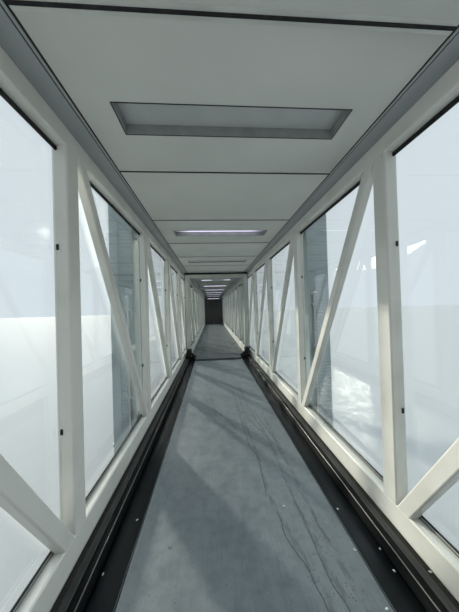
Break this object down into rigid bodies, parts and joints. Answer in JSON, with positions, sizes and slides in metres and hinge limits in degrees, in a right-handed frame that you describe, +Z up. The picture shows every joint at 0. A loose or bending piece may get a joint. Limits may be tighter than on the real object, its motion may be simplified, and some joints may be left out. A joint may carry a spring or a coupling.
{
  "type": "telescoping glass-walled jet bridge",
  "caption": "Covered boarding bridge: a wide glass-walled tunnel on a wheeled drive slides over a narrower fixed tunnel that stands on a pedestal, with a hinged floor ramp between them.",
  "frame": {"origin": "centre of the pedestal's foot plate, on the ground, where the anchor bolts hold it", "axes": "+Y along both tunnels towards the terminal, +Z up, +X to the right when walking towards the terminal"},
  "size_m": [3.6, 21.75, 6.86],
  "materials": {
    "white_paint": "satin coat",
    "clear_glass": "clear laminated",
    "gasket_rubber": "matt",
    "ceiling_laminate": "satin laminate",
    "soffit_paint": "matt",
    "lamp_tray": "satin",
    "frosted_acrylic": "frosted",
    "floor_sheet": "scuffed non-slip sheet",
    "gutter_rubber": "worn",
    "track_steel": "dusty, worn",
    "bright_steel": "bright",
    "ramp_plate": "worn chequered",
    "black_paint": "satin",
    "tyre_rubber": "matt",
    "grey_paint": "satin coat"
  },
  "bodies": {
    "fixed_tunnel": {"pedestal": "grey_paint", "pedestal_head": "grey_paint", "inner_floor": "floor_sheet", "inner_left_truss": "white_paint", "inner_right_truss": "white_paint", "inner_left_glass": "clear_glass", "inner_right_glass": "clear_glass", "inner_gaskets": "gasket_rubber", "inner_cover_strips": "white_paint", "inner_ceiling": "ceiling_laminate", "inner_ceiling_edges": "soffit_paint", "inner_lamps": "lamp_tray", "inner_diffusers": "frosted_acrylic", "inner_roof": "grey_paint", "portal_frame": "white_paint", "portal_seal": "gasket_rubber", "roller_housings": "black_paint", "track_rollers": "bright_steel", "end_frame": "white_paint", "end_shutter": "black_paint", "ramp_hinge": "bright_steel"},
    "ramp": {"transition_ramp": "ramp_plate"},
    "outer_tunnel": {"outer_floor": "floor_sheet", "gutter_covers": "gutter_rubber", "roller_tracks": "track_steel", "outer_left_truss": "white_paint", "outer_right_truss": "white_paint", "outer_left_glass": "clear_glass", "outer_right_glass": "clear_glass", "outer_gaskets": "gasket_rubber", "outer_cover_strips": "white_paint", "outer_ceiling": "ceiling_laminate", "outer_ceiling_edges": "soffit_paint", "outer_lamps": "lamp_tray", "outer_diffusers": "frosted_acrylic", "outer_roof_beams": "grey_paint", "outer_roof": "grey_paint", "front_frame": "white_paint", "rear_frame": "white_paint", "floor_beams": "grey_paint", "column_beam": "grey_paint", "lift_columns": "grey_paint", "lift_legs": "bright_steel", "axle_beam": "grey_paint", "tyres": "tyre_rubber"}
  },
  "joints": [
    {"name": "telescope", "type": "slide", "parent": "fixed_tunnel", "child": "outer_tunnel", "axis": [0, 1, 0], "range_m": [-1, 4.5]},
    {"name": "ramp_hinge", "type": "hinge", "parent": "fixed_tunnel", "child": "ramp", "pos_m": [0, -13.05, 4.086], "axis": [-1, 0, 0], "range_deg": [0, 70]}
  ]
}
